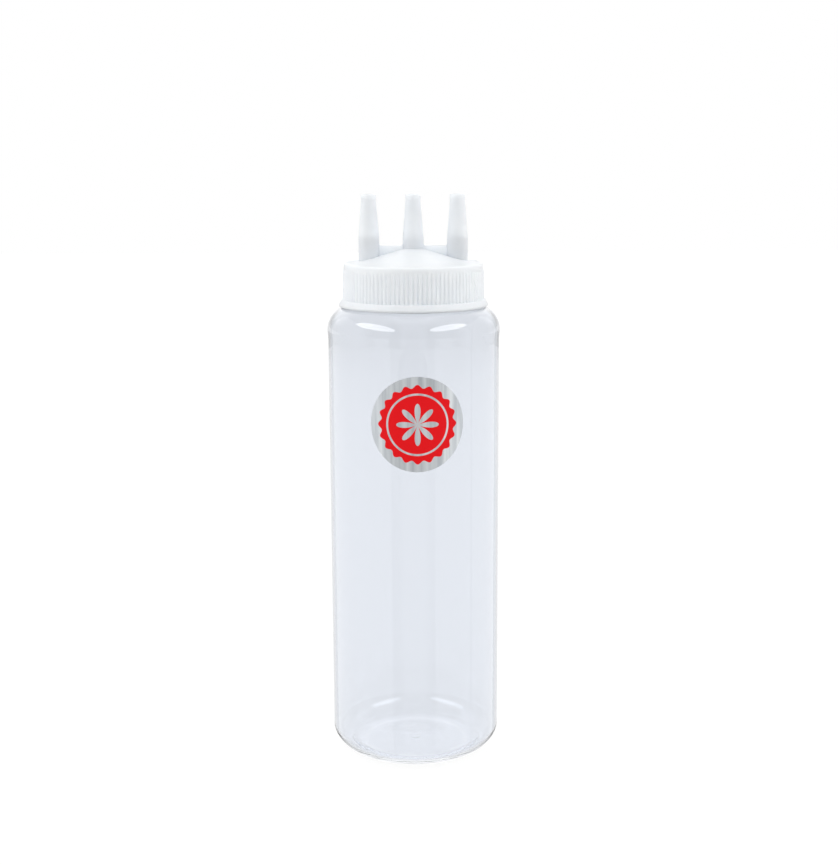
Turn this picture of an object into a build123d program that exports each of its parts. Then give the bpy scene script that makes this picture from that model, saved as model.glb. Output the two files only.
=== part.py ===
from build123d import *
import math
import os

os.makedirs("parts", exist_ok=True)

# A wide-mouth squeeze bottle with a screw cap that has three pouring nozzles.
# Millimetres. The origin is the centre of the foot, +Z is up, the label faces -Y
# and the nozzles stand in a row along X. The cap is drawn screwed fully down.

# Bottle body
body_radius = 35.0
body_wall = 0.9
flare_height = 175.5
flare = 0.26
heel_width = 12.9
heel_height = 10.1
foot_width = 1.6
foot_wall = 1.3
floor_step_width = 1.8
floor_rise = 1.6
floor_wall = 1.5
gate_radius = 1.8
gate_height = 0.5

# Neck and shoulder
shoulder_top = 188.55
neck_radius = 25.0
neck_wall = 1.8
neck_height = 14.05
throat_rise = 1.0

# A bend in the bottle's wall is a run of narrow cones
heel_steps = 7
shoulder_steps = 6
inner_heel_steps = 3
inner_shoulder_steps = 5

# Seal
seal_thickness = 1.4
seal_overhang = 0.6
seal_clearance = 0.3

# Cap collar and the flange at its foot
thread_depth = 1.3
thread_clearance = 0.2
skirt_wall = 1.7
skirt_gap = 0.35
cap_top_wall = 1.5
rim_chamfer = 0.7
flange_overhang = 2.1
flange_edge = 1.2
flange_flare = 1.3
ledge_width = 0.75

# Ribs round the collar, which stand a little prouder towards their foot
rib_count = 100
rib_height = 0.4
rib_foot_height = 0.65
rib_flank_angle = 45.0
groove_floor = 0.1
rib_fade = 2.7
rib_margin = 1.4
rib_sink = 0.3
rib_end_sink = 0.05

# Cone on top of the cap, which steepens towards the nozzles
cone_margin = 2.6
cone_edge_angle = 10.5
cone_root_angle = 19.0
cone_steps = 2

# Nozzles, measured up from the cap's rim, and the web between them
nozzle_count = 3
nozzle_spacing = 17.9
nozzle_height = 27.35
nozzle_tip_radius = 2.95
nozzle_knee_height = 9.8
nozzle_root_radius = 4.2
nozzle_tip_chamfer = 0.4
passage_radius = 3.2
passage_tip_radius = 1.9
web_height = 6.7
web_thickness = 2.4
web_corner = 1.0

# Label, placed down from the top of the body's straight wall
label_radius = 18.9
label_drop = 11.55
label_turn = 2.4
label_thickness = 0.15
label_outline_points = 24


def bend(centre, width, height, first_angle, last_angle, steps):
    """Points at even angles along a part of an ellipse, given by its centre and half axes."""
    points = []
    for step in range(steps + 1):
        angle = math.radians(first_angle + (last_angle - first_angle) * step / steps)
        points.append((centre[0] + width * math.cos(angle), centre[1] + height * math.sin(angle)))
    return points


# Bottle sizes that follow from the values above
shoulder_edge_radius = body_radius + flare
shoulder_radius = shoulder_edge_radius - neck_radius
shoulder_start = shoulder_top - shoulder_radius
shoulder_underside = shoulder_top - body_wall
lip_top = shoulder_top + neck_height
neck_bore = neck_radius - neck_wall
inner_radius = body_radius - body_wall
foot_radius = body_radius - heel_width
foot_inner_radius = foot_radius - foot_width
floor_radius = foot_inner_radius - floor_step_width

heel_centre = (foot_radius, heel_height)
shoulder_centre = (neck_radius, shoulder_start)
inner_shoulder_width = inner_radius - neck_radius
inner_shoulder_height = shoulder_radius - body_wall
outer_heel = bend(heel_centre, heel_width, heel_height, 270, 360, heel_steps)
outer_shoulder = bend(shoulder_centre, shoulder_radius, shoulder_radius, 0, 90, shoulder_steps)
inner_shoulder = bend(
    shoulder_centre, inner_shoulder_width, inner_shoulder_height, 90, 0, inner_shoulder_steps
)
inner_heel = bend(
    heel_centre, heel_width - body_wall, heel_height - foot_wall, 360, 270, inner_heel_steps
)

with BuildPart() as bottle:
    with BuildSketch(Plane.XZ):
        Polygon(
            (0, floor_rise),
            (floor_radius, floor_rise),
            (foot_inner_radius, 0),
            *outer_heel,
            (body_radius, flare_height),
            *outer_shoulder,
            (neck_radius, lip_top),
            (neck_bore, lip_top),
            (neck_bore, shoulder_underside + throat_rise),
            *inner_shoulder,
            *inner_heel,
            (foot_inner_radius, foot_wall),
            (floor_radius, floor_rise + floor_wall),
            (0, floor_rise + floor_wall),
            align=None,
        )
    revolve(axis=Axis.Z)
    # The mark that the mould's gate leaves under the floor
    with BuildSketch(Plane.XY.offset(floor_rise - gate_height)):
        Circle(gate_radius)
    extrude(amount=gate_height)
bottle.part.label = "bottle"
export_step(bottle.part, "parts/bottle.step")

# The seal lies on the lip, and everything of the cap stands on the seal
land_height = lip_top + seal_thickness
cap_top = land_height + cap_top_wall
skirt_bottom = shoulder_top + skirt_gap
cap_bore = neck_radius + thread_depth + thread_clearance
seal_inner_radius = neck_bore - seal_overhang
seal_outer_radius = cap_bore - seal_clearance

with BuildPart() as cap_seal:
    with BuildSketch(Plane.XY.offset(lip_top)):
        Circle(seal_outer_radius)
        Circle(seal_inner_radius, mode=Mode.SUBTRACT)
    extrude(amount=seal_thickness)
cap_seal.part.label = "cap_seal"
export_step(cap_seal.part, "parts/cap_seal.step")

# The collar's foot is a ledge for the ribs and a flare that widens into the flange
collar_radius = cap_bore + skirt_wall
flange_radius = collar_radius + flange_overhang
flange_top = skirt_bottom + flange_edge
ledge_top = flange_top + flange_flare

# The cone's side is a hollow curve that leaves the rim gently and steepens inwards
cone_radius = collar_radius - cone_margin
edge_sine = math.sin(math.radians(cone_edge_angle))
root_sine = math.sin(math.radians(cone_root_angle))
cone_curve = (cone_radius - nozzle_root_radius) / (root_sine - edge_sine)
cone_centre = (
    cone_radius + cone_curve * edge_sine,
    cap_top + cone_curve * math.cos(math.radians(cone_edge_angle)),
)
cone_side = bend(
    cone_centre, cone_curve, cone_curve, 270 - cone_root_angle, 270 - cone_edge_angle, cone_steps
)
cone_top = cone_side[0][1]
cavity_top = cone_top - cap_top_wall

# Heights along the nozzles
nozzle_top = cap_top + nozzle_height
nozzle_knee = cap_top + nozzle_knee_height
web_top = cap_top + web_height

# One rib of the collar, at +X, with flanks that lean in and a crest seen from the side
rib_top = cap_top - rib_margin
rib_end = rib_top + rib_fade * rib_end_sink / rib_height
rib_flank = math.tan(math.radians(rib_flank_angle))
groove_radius = collar_radius + groove_floor
rib_root_radius = collar_radius - rib_sink
rib_root_half = rib_root_radius * math.tan(math.pi / rib_count)
groove_half = groove_radius * math.tan(math.pi / rib_count)
rib_crest_half = groove_half - (rib_foot_height - groove_floor) * rib_flank
with BuildPart() as rib:
    with BuildSketch(Plane.XY.offset(ledge_top)):
        Polygon(
            (rib_root_radius, -rib_root_half),
            (groove_radius, -groove_half),
            (collar_radius + rib_foot_height, -rib_crest_half),
            (collar_radius + rib_foot_height, rib_crest_half),
            (groove_radius, groove_half),
            (rib_root_radius, rib_root_half),
            align=None,
        )
    extrude(amount=rib_end - ledge_top)
    with BuildSketch(Plane.XZ):
        Polygon(
            (rib_root_radius, ledge_top),
            (collar_radius + rib_foot_height, ledge_top),
            (collar_radius + rib_height, rib_top - rib_fade),
            (collar_radius - rib_end_sink, rib_end),
            (rib_root_radius, rib_end),
            align=None,
        )
    extrude(amount=groove_half, both=True, mode=Mode.INTERSECT)

# One nozzle on the Z axis, solid inside, straight to its knee and tapered to its tip
with BuildPart() as nozzle:
    with BuildSketch(Plane.XZ):
        Polygon(
            (0, land_height),
            (nozzle_root_radius, land_height),
            (nozzle_root_radius, nozzle_knee),
            (nozzle_tip_radius, nozzle_top - nozzle_tip_chamfer),
            (nozzle_tip_radius - nozzle_tip_chamfer, nozzle_top),
            (0, nozzle_top),
            align=None,
        )
    revolve(axis=Axis.Z)

# The passage through one nozzle, wide up to the knee and narrow to the tip
with BuildPart() as passage:
    with BuildSketch(Plane.XZ):
        Polygon(
            (0, land_height),
            (passage_radius, land_height),
            (passage_radius, nozzle_knee),
            (passage_tip_radius, nozzle_knee),
            (passage_tip_radius, nozzle_top),
            (0, nozzle_top),
            align=None,
        )
    revolve(axis=Axis.Z)

# The upright web between two nozzles, with a hollow corner against each of them
web_side = nozzle_spacing / 2 - nozzle_root_radius
corner_centre = web_side - web_corner
with BuildPart() as web:
    with BuildSketch(Plane.XZ):
        with BuildLine():
            Polyline(
                (-web_side, web_top + web_corner),
                (-nozzle_spacing / 2, web_top + web_corner),
                (-nozzle_spacing / 2, land_height),
                (nozzle_spacing / 2, land_height),
                (nozzle_spacing / 2, web_top + web_corner),
                (web_side, web_top + web_corner),
            )
            CenterArc((corner_centre, web_top + web_corner), web_corner, 270, 90)
            Line((corner_centre, web_top), (-corner_centre, web_top))
            CenterArc((-corner_centre, web_top + web_corner), web_corner, 180, 90)
        make_face()
    extrude(amount=web_thickness / 2, both=True)

with BuildPart() as cap:
    # Collar, flange and cone, still solid inside
    with BuildSketch(Plane.XZ):
        Polygon(
            (0, cone_top),
            *cone_side,
            (collar_radius - rim_chamfer, cap_top),
            (collar_radius, cap_top - rim_chamfer),
            (collar_radius, ledge_top),
            (collar_radius + ledge_width, ledge_top),
            (flange_radius, flange_top),
            (flange_radius, skirt_bottom),
            (0, skirt_bottom),
            align=None,
        )
    revolve(axis=Axis.Z)
    with PolarLocations(0, rib_count):
        add(rib.part)
    with GridLocations(nozzle_spacing, 1, nozzle_count - 1, 1):
        add(web.part)
    with GridLocations(nozzle_spacing, 1, nozzle_count, 1):
        add(nozzle.part)
    # The hollow under the cone, the land for the seal and the bore for the threaded neck
    with BuildSketch(Plane.XZ):
        Polygon(
            (0, cavity_top),
            (passage_radius, cavity_top),
            (seal_inner_radius, land_height),
            (cap_bore, land_height),
            (cap_bore, skirt_bottom),
            (0, skirt_bottom),
            align=None,
        )
    revolve(axis=Axis.Z, mode=Mode.SUBTRACT)
    with GridLocations(nozzle_spacing, 1, nozzle_count, 1):
        add(passage.part, mode=Mode.SUBTRACT)
cap.part.label = "cap"
export_step(cap.part, "parts/cap.step")

# The label is a round sticker wrapped on the body, so its outline is narrower seen flat
label_height = flare_height - label_drop - label_radius
label_side = math.radians(label_turn)
label_plane = Plane(
    origin=(0, 0, label_height),
    x_dir=(math.cos(label_side), math.sin(label_side), 0),
    z_dir=(math.sin(label_side), -math.cos(label_side), 0),
)
label_outline = []
for step in range(label_outline_points):
    turn = 2 * math.pi * step / label_outline_points
    wrap = label_radius * math.cos(turn) / body_radius
    label_outline.append((body_radius * math.sin(wrap), label_radius * math.sin(turn)))

with BuildPart() as label:
    with BuildSketch(Plane.XY.offset(label_height - label_radius)):
        Circle(body_radius + label_thickness)
        Circle(body_radius, mode=Mode.SUBTRACT)
    extrude(amount=2 * label_radius)
    with BuildSketch(label_plane):
        with BuildLine():
            Spline(*label_outline, periodic=True)
        make_face()
    extrude(amount=body_radius + 2 * label_thickness, mode=Mode.INTERSECT)
label.part.label = "label"
export_step(label.part, "parts/label.step")
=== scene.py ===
import math

import bpy
from mathutils import Matrix, Quaternion, Vector


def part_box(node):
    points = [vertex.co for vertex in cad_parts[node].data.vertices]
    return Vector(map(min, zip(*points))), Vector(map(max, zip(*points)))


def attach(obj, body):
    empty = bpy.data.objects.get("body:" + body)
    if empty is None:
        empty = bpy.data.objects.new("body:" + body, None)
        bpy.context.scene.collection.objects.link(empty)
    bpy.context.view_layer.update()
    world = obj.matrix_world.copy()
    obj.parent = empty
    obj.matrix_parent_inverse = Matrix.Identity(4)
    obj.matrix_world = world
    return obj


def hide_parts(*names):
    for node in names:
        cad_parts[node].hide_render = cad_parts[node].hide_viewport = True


# Looks for the squeeze bottle. Metres, in the row frame: +Z is up and the label faces -Y.
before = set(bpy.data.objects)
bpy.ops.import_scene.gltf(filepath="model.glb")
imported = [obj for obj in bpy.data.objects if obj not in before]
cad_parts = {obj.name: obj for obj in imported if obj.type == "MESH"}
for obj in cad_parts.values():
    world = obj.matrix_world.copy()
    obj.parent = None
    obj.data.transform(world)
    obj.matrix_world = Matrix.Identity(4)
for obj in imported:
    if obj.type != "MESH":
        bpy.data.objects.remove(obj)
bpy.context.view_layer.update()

# Places that come from the frame
bottle_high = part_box("bottle")[1]
cap_low, cap_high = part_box("cap")
seal_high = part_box("cap_seal")[1]
label_low, label_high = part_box("label")
shoulder_edge_radius = bottle_high.x
lip_top = bottle_high.z
skirt_bottom = cap_low.z
flange_radius = cap_high.x
nozzle_top = cap_high.z
land_height = seal_high.z
label_radius = (label_high.z - label_low.z) / 2
label_height = (label_high.z + label_low.z) / 2

# Bottle body
body_radius = 0.035
body_wall = 0.0009
flare_height = 0.1755
heel_width = 0.0129
heel_height = 0.0101
foot_width = 0.0016
foot_wall = 0.0013

# Base inside the foot: a slight dome below with the mark of the mould's gate, flat on top
base_crown = 0.0005
base_top = 0.0022
base_corner_radius = 0.0273
base_corner_ease = 0.0004
gate_radius = 0.0018
gate_height = 0.00012

# Neck and shoulder
neck_radius = 0.025
neck_wall = 0.0018
neck_height = 0.01405
neck_root_radius = 0.0006
shoulder_end_angle = 88
throat_radius = 0.001
lip_radius = 0.0004

# Thread of the neck and of the cap
thread_lead = 0.004233
thread_turns = 1.5
thread_depth = 0.0013
thread_half_width = 0.00095
thread_steepness = 1.6
thread_fade_turns = 0.08
thread_start = 0.0025
cap_thread_depth = 0.0011

# Seal
seal_overhang = 0.0006

# Cap collar and flange
cap_bore = 0.0265
cap_top_wall = 0.0015
collar_radius = 0.0282
rim_radius = 0.0009
flange_edge = 0.0012
flange_flare = 0.0021
flange_drop = 0.0012
flange_lower_radius = 0.0006
flange_upper_radius = 0.0003
ledge_width = 0.00075
ledge_radius = 0.00015

# Ribs round the collar
rib_count = 100
rib_columns = 8
rib_height = 0.0004
rib_foot_height = 0.00055
rib_groove_share = 0.3
rib_fade = 0.0027
rib_margin = 0.0014

# Cone on top of the cap
cone_margin = 0.0026
cone_edge_angle = 10.5
cone_root_angle = 19.0
cone_edge_radius = 0.0006

# Nozzles and the web between them
nozzle_count = 3
nozzle_spacing = 0.0179
nozzle_knee_height = 0.0098
nozzle_root_radius = 0.0042
nozzle_neck_radius = 0.003
nozzle_knee_rounding = 0.002
nozzle_lip_radius = 0.0005
bead_height = 0.0022
bead_width = 0.00012
bead_rise = 0.00048
bead_foot_radius = 0.0004
bead_edge_radius = 0.0003
passage_radius = 0.0032
passage_tip_radius = 0.0019
web_height = 0.0067
web_thickness = 0.0024
web_corner = 0.001

# Label, and its print in shares of the label's radius
label_turn = 2.4
label_thickness = 0.00015
label_gap = 0.00002
badge_radius = 0.8
scallop_count = 20
scallop_depth = 0.035
band_outer_radius = 0.655
band_inner_radius = 0.615
petal_count = 8
petal_length = 0.44
print_softness = 0.012

# Faces that meet at more than this angle have a sharp edge between them
smooth_angle = 35

# Fineness of the shapes: columns go round an axis, rows and steps along an outline
bottle_columns = 384
nozzle_columns = 48
label_columns = 96
label_rings = 12
corner_steps = 5
fillet_steps = 6
gate_steps = 8
dome_steps = 12
heel_steps = 40
inner_heel_steps = 32
wall_rows = 12
shoulder_steps = 24
neck_rows = 52
collar_rows = 3
rib_fade_rows = 8
cone_steps = 16
cavity_rows = 40

# Sizes that follow
shoulder_top = lip_top - neck_height
shoulder_radius = shoulder_edge_radius - neck_radius
shoulder_start = shoulder_top - shoulder_radius
shoulder_centre = (neck_radius, shoulder_start)
neck_bore = neck_radius - neck_wall
neck_start = shoulder_top + neck_root_radius
lip_start = lip_top - 2 * lip_radius
inner_radius = body_radius - body_wall
foot_radius = body_radius - heel_width
foot_inner_radius = foot_radius - foot_width
heel_centre = (foot_radius, heel_height)
seal_inner_radius = neck_bore - seal_overhang
cap_top = land_height + cap_top_wall
flange_bottom = skirt_bottom - flange_drop
ledge_top = flange_bottom + flange_edge + flange_flare
rib_top = cap_top - rib_margin
cone_radius = collar_radius - cone_margin
nozzle_knee = cap_top + nozzle_knee_height


# Building shapes


def arc(centre, width, height, first, last, steps):
    """Points at even angles along a part of an ellipse, given by its centre and half axes."""
    points = []
    for step in range(steps + 1):
        angle = math.radians(first + (last - first) * step / steps)
        points.append((centre[0] + width * math.cos(angle), centre[1] + height * math.sin(angle)))
    return points


def rounded(corners):
    """A line through (radius, height, rounding) corners, each softened by its own rounding."""
    points = []
    for index, (radius, height, rounding) in enumerate(corners):
        corner = Vector((radius, height))
        if rounding == 0:
            points.append((radius, height))
            continue
        before = (Vector(corners[index - 1][:2]) - corner).normalized()
        after = (Vector(corners[index + 1][:2]) - corner).normalized()
        reach = rounding / math.tan(before.angle(after) / 2)
        first, last = corner + before * reach, corner + after * reach
        for step in range(corner_steps + 1):
            share = step / corner_steps
            point = first.lerp(corner, share).lerp(corner.lerp(last, share), share)
            points.append(tuple(point))
    return points


def even_rows(low, high, count):
    """Heights from low to high at even steps, both ends left out."""
    return [low + (high - low) * row / count for row in range(1, count)]


def smoothstep(value):
    """An eased rise from 0 to 1, level below and above."""
    value = min(1.0, max(0.0, value))
    return value * value * (3 - 2 * value)


def smooth(mesh):
    """Smooth shading, with a sharp edge where faces meet at more than smooth_angle."""
    mesh.shade_smooth()
    mesh.set_sharp_from_angle(angle=math.radians(smooth_angle))


def make_object(name, vertices, faces, material):
    """A smooth-shaded object in the scene, from its points and faces."""
    mesh = bpy.data.meshes.new(name)
    mesh.from_pydata(vertices, [], faces)
    mesh.update()
    smooth(mesh)
    mesh.materials.append(material)
    made = bpy.data.objects.new(name, mesh)
    bpy.context.scene.collection.objects.link(made)
    return made


def lathe(name, profile, columns, material, growth=None, centre=(0, 0)):
    """Turns a profile of (radius, height) round an upright axis through centre.

    The profile runs up the outside, so that the faces look outwards. It ends in poles where
    its ends are at radius 0, and otherwise it is a closed loop. growth(radius, height, angle)
    adds to the radius.
    """
    vertices = []
    rings = []
    for radius, height in profile:
        if radius == 0:
            rings.append([len(vertices)] * columns)
            vertices.append((centre[0], centre[1], height))
            continue
        rings.append(list(range(len(vertices), len(vertices) + columns)))
        for column in range(columns):
            angle = 2 * math.pi * column / columns
            grown = radius + (growth(radius, height, angle) if growth else 0)
            vertices.append(
                (centre[0] + grown * math.cos(angle), centre[1] + grown * math.sin(angle), height)
            )
    pairs = list(zip(rings, rings[1:]))
    if profile[0][0] != 0:
        pairs.append((rings[-1], rings[0]))
    faces = []
    for low, high in pairs:
        for column in range(columns):
            after = (column + 1) % columns
            corners = [low[column], low[after], high[after], high[column]]
            faces.append(list(dict.fromkeys(corners)))
    return make_object(name, vertices, faces, material)


def combine(target, tool, operation):
    """Joins the tool to the target, or cuts it away, and removes the tool."""
    modifier = target.modifiers.new(operation, "BOOLEAN")
    modifier.operation = operation
    modifier.solver = "EXACT"
    modifier.object = tool
    shape = target.evaluated_get(bpy.context.evaluated_depsgraph_get())
    mesh = bpy.data.meshes.new_from_object(shape)
    target.modifiers.clear()
    target.data = mesh
    bpy.data.objects.remove(tool)


def thread_share(height, angle, middle_start):
    """How much of the thread's depth stands at a height and angle, for a right-hand thread."""
    share = 0.0
    for turn in range(math.ceil(thread_turns)):
        turned = angle / (2 * math.pi) + turn
        if turned > thread_turns:
            continue
        middle = middle_start + thread_lead * turned
        ridge = smoothstep(thread_steepness * (1 - abs(height - middle) / thread_half_width))
        ends = min(turned, thread_turns - turned) / thread_fade_turns
        share = max(share, ridge * smoothstep(ends))
    return share


# Materials


class Nodes:
    """A material or lamp's nodes, with short ways to add and join them."""

    def __init__(self, owner):
        owner.use_nodes = True
        self.nodes = owner.node_tree.nodes
        self.links = owner.node_tree.links

    def add(self, kind, settings=None, inputs=None):
        """A new node, where an input is either a value or another node's output."""
        node = self.nodes.new(kind)
        for name, value in (settings or {}).items():
            setattr(node, name, value)
        for name, value in (inputs or {}).items():
            self.feed(value, node.inputs[name])
        return node

    def feed(self, value, socket):
        """Sets an input, or joins another node's output to it."""
        if isinstance(value, bpy.types.NodeSocket):
            self.links.new(value, socket)
        else:
            socket.default_value = value

    def math(self, operation, *values, clamp=False):
        """The result of a sum on values and other nodes' outputs."""
        settings = {"operation": operation, "use_clamp": clamp}
        return self.add("ShaderNodeMath", settings, dict(enumerate(values))).outputs[0]

    def between(self, share, low, high):
        """The level at a share of the way from one number to another."""
        return self.math("MULTIPLY_ADD", share, high - low, low)

    def blend(self, share, first, second):
        """The level at a share of the way from one level to another, nodes or numbers."""
        kept = self.math("MULTIPLY", first, self.math("SUBTRACT", 1, share))
        return self.math("MULTIPLY_ADD", second, share, kept)

    def ramp(self, share, low, high):
        """Colours or levels from low to high, each a (place, colour) pair."""
        node = self.add("ShaderNodeValToRGB", inputs={"Fac": share})
        for stop, (place, colour) in zip(node.color_ramp.elements, (low, high)):
            stop.position = place
            stop.color = (*colour, 1)
        return node.outputs["Color"]

    def fade(self, value, span, first_level, last_level):
        """A level that goes smoothly from the first to the last as the value crosses the span."""
        ends = {"From Min": span[0], "From Max": span[1]}
        levels = {"To Min": first_level, "To Max": last_level}
        return self.add(
            "ShaderNodeMapRange",
            {"interpolation_type": "SMOOTHSTEP"},
            {"Value": value, **ends, **levels},
        ).outputs["Result"]

    def mix(self, share, first, second):
        """A colour between two others, by a share."""
        node = self.add("ShaderNodeMix", {"data_type": "RGBA"}, {"Factor": share})
        sockets = {socket.identifier: socket for socket in (*node.inputs, *node.outputs)}
        self.feed(first, sockets["A_Color"])
        self.feed(second, sockets["B_Color"])
        return sockets["Result_Color"]

    def noise(self, scale, detail, stretch=(1, 1, 1), place=None):
        """Noise over the object's own coordinates, or over the place given."""
        if place is None:
            place = self.add("ShaderNodeTexCoord").outputs["Object"]
        spot = self.add("ShaderNodeMapping", inputs={"Vector": place, "Scale": stretch})
        return self.add(
            "ShaderNodeTexNoise",
            inputs={"Vector": spot.outputs["Vector"], "Scale": scale, "Detail": detail},
        ).outputs["Fac"]

    def bump(self, height, distance, normal=None):
        """A surface direction roughened by a height, on top of another one where given."""
        inputs = {"Height": height, "Distance": distance}
        if normal is not None:
            inputs["Normal"] = normal
        return self.add("ShaderNodeBump", inputs=inputs).outputs["Normal"]


def new_material(name):
    """A material, its nodes and its shader."""
    material = bpy.data.materials.new(name)
    tree = Nodes(material)
    return material, tree, tree.nodes["Principled BSDF"]


def clear_plastic():
    """Clear blow-moulded plastic, glossy and a little blue, and darker where seen edge-on:
    painted shade along the outline.
    """
    material, tree, shader = new_material("clear_bottle_plastic")
    # Painted shade: the colour darkens as the surface turns edge-on, standing for the dark
    # outline and in part for the longer path through the wall.
    slant = tree.add("ShaderNodeLayerWeight", inputs={"Blend": 0.5}).outputs["Facing"]
    edge_shade_sharpness = 10
    edge = tree.math("POWER", slant, edge_shade_sharpness)
    colour = tree.ramp(edge, (0, (0.85, 0.87, 0.905)), (1, (0.72, 0.74, 0.77)))
    tree.feed(colour, shader.inputs["Base Color"])
    shader.inputs["IOR"].default_value = 1.5
    shader.inputs["Transmission Weight"].default_value = 1.0
    haze = tree.noise(scale=90, detail=2)
    rough = tree.between(haze, 0.003, 0.013)
    tree.feed(rough, shader.inputs["Roughness"])
    flow = tree.noise(scale=25, detail=0, stretch=(1, 1, 0.06))
    tree.feed(tree.bump(flow, distance=0.000008), shader.inputs["Normal"])
    return material


def white_plastic():
    """White injection-moulded plastic: satin, fine-grained and slightly translucent."""
    material, tree, shader = new_material("white_cap_plastic")
    shade = tree.noise(scale=180, detail=2)
    colour = tree.ramp(shade, (0.35, (0.845, 0.89, 0.95)), (0.65, (0.865, 0.905, 0.96)))
    tree.feed(colour, shader.inputs["Base Color"])
    rough = tree.between(tree.noise(scale=600, detail=3), 0.36, 0.5)
    tree.feed(rough, shader.inputs["Roughness"])
    shader.inputs["Subsurface Weight"].default_value = 0.8
    shader.inputs["Subsurface Radius"].default_value = (0.005, 0.0049, 0.0048)
    shader.inputs["Subsurface Scale"].default_value = 1.0
    grain = tree.bump(tree.noise(scale=2600, detail=3), distance=0.000012)
    sinks = tree.bump(tree.noise(scale=160, detail=1), distance=0.00003, normal=grain)
    tree.feed(sinks, shader.inputs["Normal"])
    return material


def seal_rubber():
    """Soft off-white rubber with a fine matt skin."""
    material, tree, shader = new_material("seal_rubber")
    shade = tree.noise(scale=220, detail=3)
    colour = tree.ramp(shade, (0.3, (0.7, 0.7, 0.685)), (0.7, (0.76, 0.76, 0.745)))
    tree.feed(colour, shader.inputs["Base Color"])
    shader.inputs["Roughness"].default_value = 0.62
    skin = tree.bump(tree.noise(scale=1500, detail=3), distance=0.00002)
    tree.feed(skin, shader.inputs["Normal"])
    return material


def label_print():
    """Silver film with a scalloped red badge that leaves a thin band and a rosette bare."""
    material, tree, shader = new_material("label_film")
    place = tree.add("ShaderNodeUVMap", {"uv_map": "print"}).outputs["UV"]
    centred = tree.add(
        "ShaderNodeVectorMath", {"operation": "SUBTRACT"}, {0: place, 1: (0.5, 0.5, 0)}
    ).outputs["Vector"]
    reach = tree.add("ShaderNodeVectorMath", {"operation": "LENGTH"}, {0: centred})
    radius = tree.math("MULTIPLY", reach.outputs["Value"], 2)
    parts = tree.add("ShaderNodeSeparateXYZ", inputs={0: centred})
    angle = tree.math("ARCTAN2", parts.outputs["Y"], parts.outputs["X"])

    def inside(edge):
        """1 within the edge and 0 beyond it, with a narrow soft step between."""
        depth = tree.math("SUBTRACT", edge, radius)
        return tree.math("MULTIPLY_ADD", depth, 1 / print_softness, 0.5, clamp=True)

    scallop = tree.math("COSINE", tree.math("MULTIPLY", angle, scallop_count))
    badge = inside(tree.math("MULTIPLY_ADD", scallop, scallop_depth, badge_radius))
    band = tree.math("SUBTRACT", inside(band_outer_radius), inside(band_inner_radius))
    petal = tree.math("COSINE", tree.math("MULTIPLY", angle, petal_count / 2))
    rosette = inside(tree.math("MULTIPLY", tree.math("ABSOLUTE", petal), petal_length))
    left_bare = tree.math("MAXIMUM", band, rosette)
    inked = tree.math("SUBTRACT", badge, left_bare, clamp=True)

    streaks = tree.noise(scale=1.6, detail=3, stretch=(9, 0.5, 1), place=place)
    silver = tree.ramp(streaks, (0.36, (0.5, 0.53, 0.56)), (0.62, (0.72, 0.75, 0.77)))
    red = (0.78, 0.004, 0.008, 1)
    tree.feed(tree.mix(inked, silver, red), shader.inputs["Base Color"])
    tree.feed(tree.math("SUBTRACT", 1, inked), shader.inputs["Metallic"])
    tree.feed(tree.between(streaks, 0.32, 0.48), shader.inputs["Roughness"])
    shader.inputs["Specular IOR Level"].default_value = 0.12
    return material


clear = clear_plastic()
white = white_plastic()


# Pieces


def base_dome():
    """Points of the dome under the base, from the gate's mark out to the foot."""
    return [
        (foot_inner_radius * share, base_crown * (1 - share**2) ** 2)
        for share in even_rows(gate_radius / foot_inner_radius, 1, dome_steps)
    ]


def bottle_outside():
    """The bottle's outer line, from the middle of the base up to the lip."""
    gate = arc((0, base_crown), gate_radius, gate_height, 270, 360, gate_steps)
    points = [(0, base_crown - gate_height)] + gate[1:]
    points += base_dome() + [(foot_inner_radius, 0), (foot_radius, 0)]
    points += arc(heel_centre, heel_width, heel_height, 270, 360, heel_steps)[1:]
    wall_heights = even_rows(heel_height, flare_height, wall_rows)
    points += [(body_radius, height) for height in wall_heights]
    points += [(body_radius, flare_height)]
    points += arc(
        shoulder_centre, shoulder_radius, shoulder_radius, 0, shoulder_end_angle, shoulder_steps
    )
    root_centre = (neck_radius + neck_root_radius, neck_start)
    root_angle = 180 + shoulder_end_angle
    points += arc(root_centre, neck_root_radius, neck_root_radius, root_angle, 180, fillet_steps)
    neck_heights = even_rows(neck_start, lip_start, neck_rows)
    points += [(neck_radius, height) for height in neck_heights]
    return points


def bottle_lip():
    """The rounded lip, from the outside of the neck over to its bore."""
    return rounded(
        [
            (neck_radius, lip_start, 0),
            (neck_radius, lip_top, lip_radius),
            (neck_bore, lip_top, lip_radius),
            (neck_bore, lip_start, 0),
        ]
    )


def bottle_inside():
    """The bottle's inner line, from the throat down to the middle of the base."""
    throat_centre = (neck_bore + throat_radius, shoulder_top - body_wall + throat_radius)
    points = arc(throat_centre, throat_radius, throat_radius, 180, 270, fillet_steps)
    shoulder_width = inner_radius - neck_radius
    shoulder_rise = shoulder_radius - body_wall
    points += arc(shoulder_centre, shoulder_width, shoulder_rise, 90, 0, shoulder_steps)
    wall_heights = even_rows(heel_height, shoulder_start, wall_rows)
    points += [(inner_radius, height) for height in reversed(wall_heights)]
    bend_width = heel_width - body_wall
    bend_height = heel_height - foot_wall
    corner_angle = math.degrees(math.acos((base_corner_radius - foot_radius) / bend_width))
    bend_end = 360 - corner_angle
    points += arc(heel_centre, bend_width, bend_height, 360, bend_end, inner_heel_steps)
    points += [(base_corner_radius - base_corner_ease, base_top), (foot_radius, base_top)]
    points += [(radius, base_top) for radius, height in reversed(base_dome())]
    points += [(0, base_top)]
    return points


def neck_thread(radius, height, angle):
    """How far the thread stands out of the neck."""
    if radius != neck_radius or height < neck_start:
        return 0
    return thread_depth * thread_share(height, angle, shoulder_top + thread_start)


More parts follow.
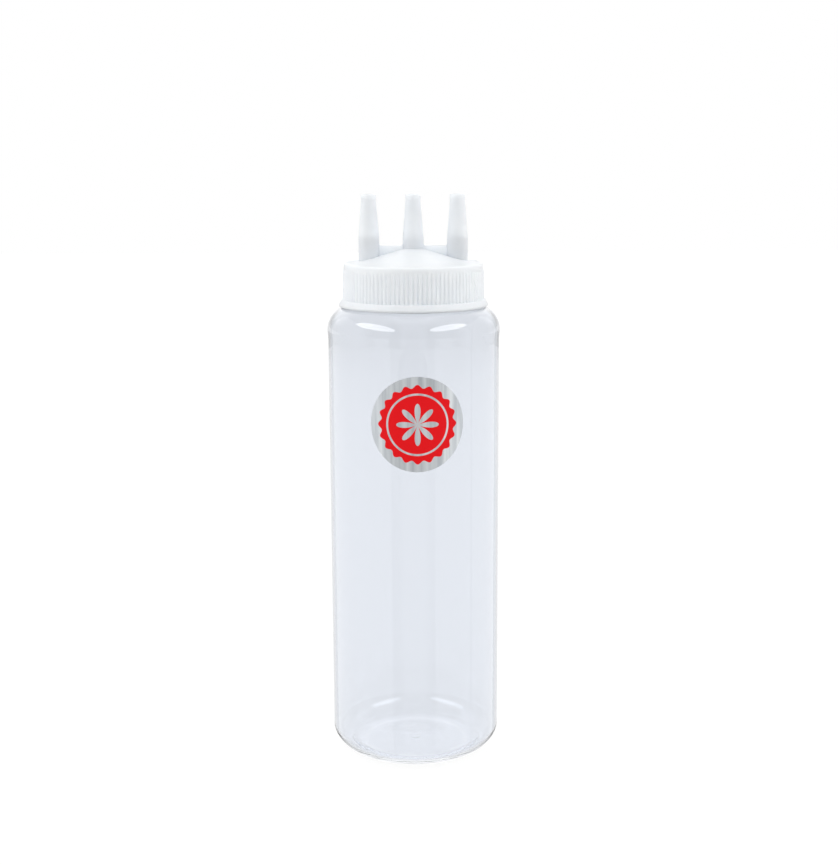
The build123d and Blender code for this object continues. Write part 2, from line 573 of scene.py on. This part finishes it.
def build_bottle():
    """The clear bottle, with its outer and inner face in one closed skin."""
    profile = bottle_outside() + bottle_lip() + bottle_inside()
    bottle = lathe("bottle_moulding", profile, bottle_columns, clear, neck_thread)
    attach(bottle, "bottle_body")
    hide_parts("bottle")


def build_nozzle(place):
    """One solid nozzle, straight to its knee and tapered to the bead round its tip."""
    bead_bottom = nozzle_top - bead_height
    bead_radius = nozzle_neck_radius + bead_width
    bottom = cap_top - cap_top_wall / 2
    profile = rounded(
        [
            (0, bottom, 0),
            (nozzle_root_radius, bottom, 0),
            (nozzle_root_radius, nozzle_knee, nozzle_knee_rounding),
            (nozzle_neck_radius, bead_bottom, bead_foot_radius),
            (bead_radius, bead_bottom + bead_rise, bead_edge_radius),
            (bead_radius, nozzle_top, nozzle_lip_radius),
            (0, nozzle_top, 0),
        ]
    )
    return lathe("nozzle", profile, nozzle_columns, white, centre=(place, 0))


def build_web(centre_x):
    """The upright web between two nozzles, with a hollow corner against each of them."""
    half = nozzle_spacing / 2
    corner_x = half - nozzle_root_radius - web_corner
    corner_z = cap_top + web_height + web_corner
    outline = [(-half, cap_top), (half, cap_top), (half, corner_z)]
    outline += arc((corner_x, corner_z), web_corner, web_corner, 360, 270, fillet_steps)
    outline += arc((-corner_x, corner_z), web_corner, web_corner, 270, 180, fillet_steps)
    outline.append((-half, corner_z))
    count = len(outline)
    vertices = []
    for y in (-web_thickness / 2, web_thickness / 2):
        vertices += [(centre_x + x, y, z) for x, z in outline]
    faces = [list(range(count)), list(range(2 * count - 1, count - 1, -1))]
    for index in range(count):
        after = (index + 1) % count
        faces.append([index, index + count, after + count, after])
    return make_object("web", vertices, faces, white)


def build_passage(place):
    """The space inside one nozzle, cut from the cap's hollow up through the tip."""
    profile = [
        (0, land_height),
        (passage_radius, land_height),
        (passage_radius, nozzle_knee),
        (passage_tip_radius, nozzle_knee + passage_radius - passage_tip_radius),
        (passage_tip_radius, nozzle_top + bead_height),
        (0, nozzle_top + bead_height),
    ]
    return lathe("passage", profile, nozzle_columns, white, centre=(place, 0))


def cone_line():
    """The cone's line from its edge in to the nozzles, steeper towards the middle."""
    edge_sine = math.sin(math.radians(cone_edge_angle))
    root_sine = math.sin(math.radians(cone_root_angle))
    curve = (cone_radius - nozzle_root_radius) / (root_sine - edge_sine)
    centre = (
        cone_radius + curve * edge_sine,
        cap_top + curve * math.cos(math.radians(cone_edge_angle)),
    )
    return arc(centre, curve, curve, 270 - cone_edge_angle, 270 - cone_root_angle, cone_steps)


def cap_outside(cone):
    """The cap's outer line, from the middle of its open side up over the cone."""
    points = [(0, skirt_bottom)]
    points += rounded(
        [
            (cap_bore, skirt_bottom, 0),
            (collar_radius, skirt_bottom, 0),
            (flange_radius, flange_bottom, flange_lower_radius),
            (flange_radius, flange_bottom + flange_edge, flange_upper_radius),
            (collar_radius + ledge_width, ledge_top, ledge_radius),
            (collar_radius, ledge_top, 0),
        ]
    )
    collar_heights = even_rows(ledge_top, rib_top - rib_fade, collar_rows)
    collar_heights += even_rows(rib_top - rib_fade, rib_top, rib_fade_rows)
    points += [(collar_radius, height) for height in collar_heights]
    points += rounded(
        [
            (collar_radius, rib_top, 0),
            (collar_radius, cap_top, rim_radius),
            (cone_radius, cap_top, cone_edge_radius),
            (*cone[1], 0),
        ]
    )
    points += cone[2:] + [(0, cone[-1][1])]
    return points


def collar_ribs(radius, height, angle):
    """How far the ribs stand out of the collar: prouder at their foot, gone at their top."""
    if radius != collar_radius or height > rib_top:
        return 0
    phase = (angle * rib_count / (2 * math.pi)) % 1
    from_groove = min(phase, 1 - phase)
    crest = smoothstep(from_groove / rib_groove_share)
    foot_share = (rib_top - rib_fade - height) / (rib_top - rib_fade - ledge_top)
    proud = rib_height + (rib_foot_height - rib_height) * max(0, foot_share)
    return proud * crest * smoothstep((rib_top - height) / rib_fade)


def cap_thread(radius, height, angle):
    """How far the thread stands into the cap, half a lead above the neck's thread."""
    if radius != cap_bore:
        return 0
    middle = shoulder_top + thread_start + thread_lead / 2
    return -cap_thread_depth * thread_share(height, angle, middle)


def build_cavity(cone_top):
    """The space inside the cap, cut from below the skirt up under the cone."""
    below = skirt_bottom - flange_edge
    profile = [(0, below), (cap_bore, below)]
    bore_heights = even_rows(skirt_bottom, land_height, cavity_rows)
    profile += [(cap_bore, height) for height in bore_heights]
    profile += [
        (cap_bore, land_height),
        (seal_inner_radius, land_height),
        (passage_radius, cone_top - cap_top_wall),
        (0, cone_top - cap_top_wall),
    ]
    return lathe("cavity", profile, bottle_columns, white, cap_thread)


def build_cap():
    """The one-piece cap: collar with ribs, flange, cone, webs and hollow nozzles."""
    cone = cone_line()
    cone_top = cone[-1][1]
    columns = rib_count * rib_columns
    cap = lathe("cap_moulding", cap_outside(cone), columns, white, collar_ribs)
    places = [
        (index - (nozzle_count - 1) / 2) * nozzle_spacing for index in range(nozzle_count)
    ]
    for left, right in zip(places, places[1:]):
        combine(cap, build_web((left + right) / 2), "UNION")
    for place in places:
        combine(cap, build_nozzle(place), "UNION")
    combine(cap, build_cavity(cone_top), "DIFFERENCE")
    for place in places:
        combine(cap, build_passage(place), "DIFFERENCE")
    smooth(cap.data)
    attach(cap, "cap_body")
    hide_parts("cap")


def label_disc():
    """Points of the label laid flat, from its middle out ring by ring."""
    points = [(0, 0)]
    for ring in range(1, label_rings + 1):
        radius = label_radius * ring / label_rings
        for column in range(label_columns):
            turn = 2 * math.pi * column / label_columns
            points.append((radius * math.cos(turn), radius * math.sin(turn)))
    return points


def label_faces(count):
    """Faces of the front, the back and the edge, between two bent discs of count points."""
    front = []
    edge = []
    rim_start = 1 + (label_rings - 1) * label_columns
    for column in range(label_columns):
        after = (column + 1) % label_columns
        front.append([0, 1 + column, 1 + after])
        for ring in range(label_rings - 1):
            inner, outer = 1 + ring * label_columns, 1 + (ring + 1) * label_columns
            front.append([inner + column, outer + column, outer + after, inner + after])
        first, second = rim_start + column, rim_start + after
        edge.append([first, first + count, second + count, second])
    back = [[corner + count for corner in reversed(face)] for face in front]
    return front, back, edge


def map_print(label, disc, front_count):
    """Lays the print over the front. The back is mapped beside it and stays plain film."""
    print_map = label.data.uv_layers.new(name="print")
    for face in label.data.polygons:
        beside = 1 if front_count <= face.index < 2 * front_count else 0
        for corner in face.loop_indices:
            side, rise = disc[label.data.loops[corner].vertex_index % len(disc)]
            print_map.uv[corner].vector = (
                0.5 + beside + side / (2 * label_radius),
                0.5 + rise / (2 * label_radius),
            )


def build_label():
    """The round sticker: a thin disc bent round the body."""
    disc = label_disc()
    vertices = []
    for surface in (body_radius + label_thickness, body_radius + label_gap):
        for side, rise in disc:
            angle = math.radians(label_turn) + side / body_radius
            vertices.append(
                (surface * math.sin(angle), -surface * math.cos(angle), label_height + rise)
            )
    front, back, edge = label_faces(len(disc))
    label = make_object("round_label", vertices, front + back + edge, label_print())
    map_print(label, disc, len(front))
    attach(label, "bottle_body")
    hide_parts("label")


def dress_seal():
    """The seal keeps its CAD shape and gets its rubber."""
    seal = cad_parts["cap_seal"]
    seal.data.materials.clear()
    seal.data.materials.append(seal_rubber())


build_bottle()
build_cap()
build_label()
dress_seal()


# Studio

# Camera, from the photograph's outline
camera_distance = 0.59364
camera_height = 0.25083
camera_side = 0.002
camera_pitch = 11.02
camera_roll = -0.265
lens = 60.75
sensor_width = 36

# Ambient light, where 1 shows as white
ambient_level = 0.82

# Backdrop that the plastic shows: white behind the bottle, darker to the sides, dimmed in
# front and brighter low at the back. Each span is in shares of a direction along an axis.
backdrop_side_level = 0.66
backdrop_side_span = (0.19, 0.36)
front_dimming = 0.5
front_span = (-0.2, -0.6)
front_rise_span = (-0.3, 0.05)
back_glow = 0.5
back_span = (0.4, 0.8)
back_rise_span = (0.08, 0.3)

# Floor: its colour where it lights and where it is seen, and the glow that makes it white.
# Through the plastic the glow falls to its far level over a span of distances.
floor_size = 6.0
floor_colour = 0.8
floor_seen_colour = 0.05
floor_roughness = 0.9
floor_glow = 0.955
floor_far_level = 0.93
floor_far_span = (0.45, 1.7)

# Bounces that light needs to come out of the bends of the clear wall
plastic_bounces = 32

# Softboxes: azimuth, elevation, width, height, level and roll. Azimuth 0 is the camera's
# side and positive turns to +X. Each faces light_target from lamp_distance away. The
# highlight boxes show on the shoulder, the mirrored boxes show in the sides of the bottle,
# and the lighting boxes aren't seen but light the pieces.
light_target = Vector((0, 0, 0.12))
lamp_distance = 1.0
highlight_boxes = {
    "left_high_box": (-60, 40, 1.1, 0.36, 2.5, -8),
    "right_high_box": (54, 40, 0.95, 0.36, 2.5, 8),
}
mirrored_boxes = {
    "left_box": (-57, 0, 1.0, 1.6, 0.6, 0),
    "right_box": (54, 0, 1.0, 1.6, 0.55, 0),
    "left_side_box": (-110, 0, 1.0, 1.6, 0.55, 0),
    "right_side_box": (110, 0, 1.0, 1.6, 0.55, 0),
}
lighting_boxes = {
    "left_fill": (-78, 20, 0.7, 0.9, 1.2, 0),
    "right_fill": (78, 20, 0.7, 0.9, 1.1, 0),
    "top_fill": (0, 80, 0.9, 0.9, 0.7, 0),
}

# Each group of softboxes, with its shape and the kinds of rays that don't see it
studio_boxes = (
    (highlight_boxes, "ELLIPSE", ("diffuse",)),
    (mirrored_boxes, "RECTANGLE", ("diffuse", "transmission")),
    (lighting_boxes, "RECTANGLE", ("glossy", "transmission")),
)


def build_camera():
    """The camera in front of the bottle, looking slightly down."""
    camera = bpy.data.objects.new("camera", bpy.data.cameras.new("camera"))
    camera.data.lens = lens
    camera.data.sensor_width = sensor_width
    camera.matrix_world = (
        Matrix.Translation((camera_side, -camera_distance, camera_height))
        @ Matrix.Rotation(math.radians(90 - camera_pitch), 4, "X")
        @ Matrix.Rotation(math.radians(camera_roll), 4, "Z")
    )
    bpy.context.scene.collection.objects.link(camera)
    bpy.context.scene.camera = camera


def seen_rays(tree):
    """1 for rays that show the background: straight, mirrored or through the clear plastic."""
    path = tree.add("ShaderNodeLightPath").outputs
    straight_or_mirrored = tree.math("MAXIMUM", path["Is Camera Ray"], path["Is Glossy Ray"])
    return tree.math("MAXIMUM", straight_or_mirrored, path["Is Transmission Ray"])


def build_world():
    """White where the camera sees it, a backdrop for the plastic, and a plain level as light."""
    world = bpy.data.worlds.new("studio")
    bpy.context.scene.world = world
    tree = Nodes(world)
    direction = tree.add("ShaderNodeTexCoord").outputs["Generated"]
    parts = tree.add("ShaderNodeSeparateXYZ", inputs={0: direction}).outputs
    across = tree.math("ABSOLUTE", parts["X"])
    sideways = tree.fade(across, backdrop_side_span, 1, backdrop_side_level)
    in_front = tree.fade(parts["Y"], front_span, 0, 1)
    dimming = tree.fade(parts["Z"], front_rise_span, 0, front_dimming)
    behind = tree.fade(parts["Y"], back_span, 0, 1)
    glowing = tree.fade(parts["Z"], back_rise_span, 0, back_glow)
    lifted = tree.math("MULTIPLY_ADD", behind, glowing, sideways)
    shown = tree.math("SUBTRACT", lifted, tree.math("MULTIPLY", in_front, dimming))
    straight = tree.add("ShaderNodeLightPath").outputs["Is Camera Ray"]
    backdrop = tree.blend(straight, shown, 1)
    level = tree.blend(seen_rays(tree), ambient_level, backdrop)
    background = tree.nodes["Background"]
    tree.feed((1, 1, 1, 1), background.inputs["Color"])
    tree.feed(level, background.inputs["Strength"])


def build_floor():
    """A pale floor that shows white, and keeps a light shadow of the bottle."""
    material, tree, shader = new_material("floor")
    seen = seen_rays(tree)
    colour = tree.between(seen, floor_colour, floor_seen_colour)
    tree.feed(colour, shader.inputs["Base Color"])
    shader.inputs["Roughness"].default_value = floor_roughness
    shader.inputs["Emission Color"].default_value = (1, 1, 1, 1)
    spot = tree.add("ShaderNodeTexCoord").outputs["Object"]
    reach = tree.add("ShaderNodeVectorMath", {"operation": "LENGTH"}, {0: spot})
    falling = tree.fade(reach.outputs["Value"], floor_far_span, 1, floor_far_level)
    straight = tree.add("ShaderNodeLightPath").outputs["Is Camera Ray"]
    shown = tree.math("MULTIPLY", tree.math("MAXIMUM", falling, straight), floor_glow)
    tree.feed(tree.math("MULTIPLY", seen, shown), shader.inputs["Emission Strength"])
    half = floor_size / 2
    corners = [(-half, -half, 0), (half, -half, 0), (half, half, 0), (-half, half, 0)]
    floor = make_object("floor", corners, [[0, 1, 2, 3]], material)
    floor.visible_glossy = False


def softbox(name, shape, azimuth, elevation, width, height, level, roll):
    """A lamp that faces the bottle, turned by its roll."""
    turn, rise = math.radians(azimuth), math.radians(elevation)
    lamp = bpy.data.lights.new(name, "AREA")
    lamp.shape = shape
    lamp.size = width
    lamp.size_y = height
    lamp.energy = level * math.pi * width * height
    away = Vector(
        (math.sin(turn) * math.cos(rise), -math.cos(turn) * math.cos(rise), math.sin(rise))
    )
    box = bpy.data.objects.new(name, lamp)
    box.location = light_target + away * lamp_distance
    box.rotation_mode = "QUATERNION"
    facing = away.to_track_quat("Z", "Y")
    box.rotation_quaternion = facing @ Quaternion((0, 0, 1), math.radians(roll))
    box.visible_camera = False
    bpy.context.scene.collection.objects.link(box)
    return box


build_camera()
build_world()
build_floor()
for boxes, shape, hidden_from in studio_boxes:
    for name, settings in boxes.items():
        box = softbox(name, shape, *settings)
        for rays in hidden_from:
            setattr(box, "visible_" + rays, False)

bpy.context.scene.view_settings.view_transform = "Standard"
light_paths = bpy.context.scene.cycles
light_paths.max_bounces = plastic_bounces
light_paths.glossy_bounces = plastic_bounces
light_paths.transmission_bounces = plastic_bounces
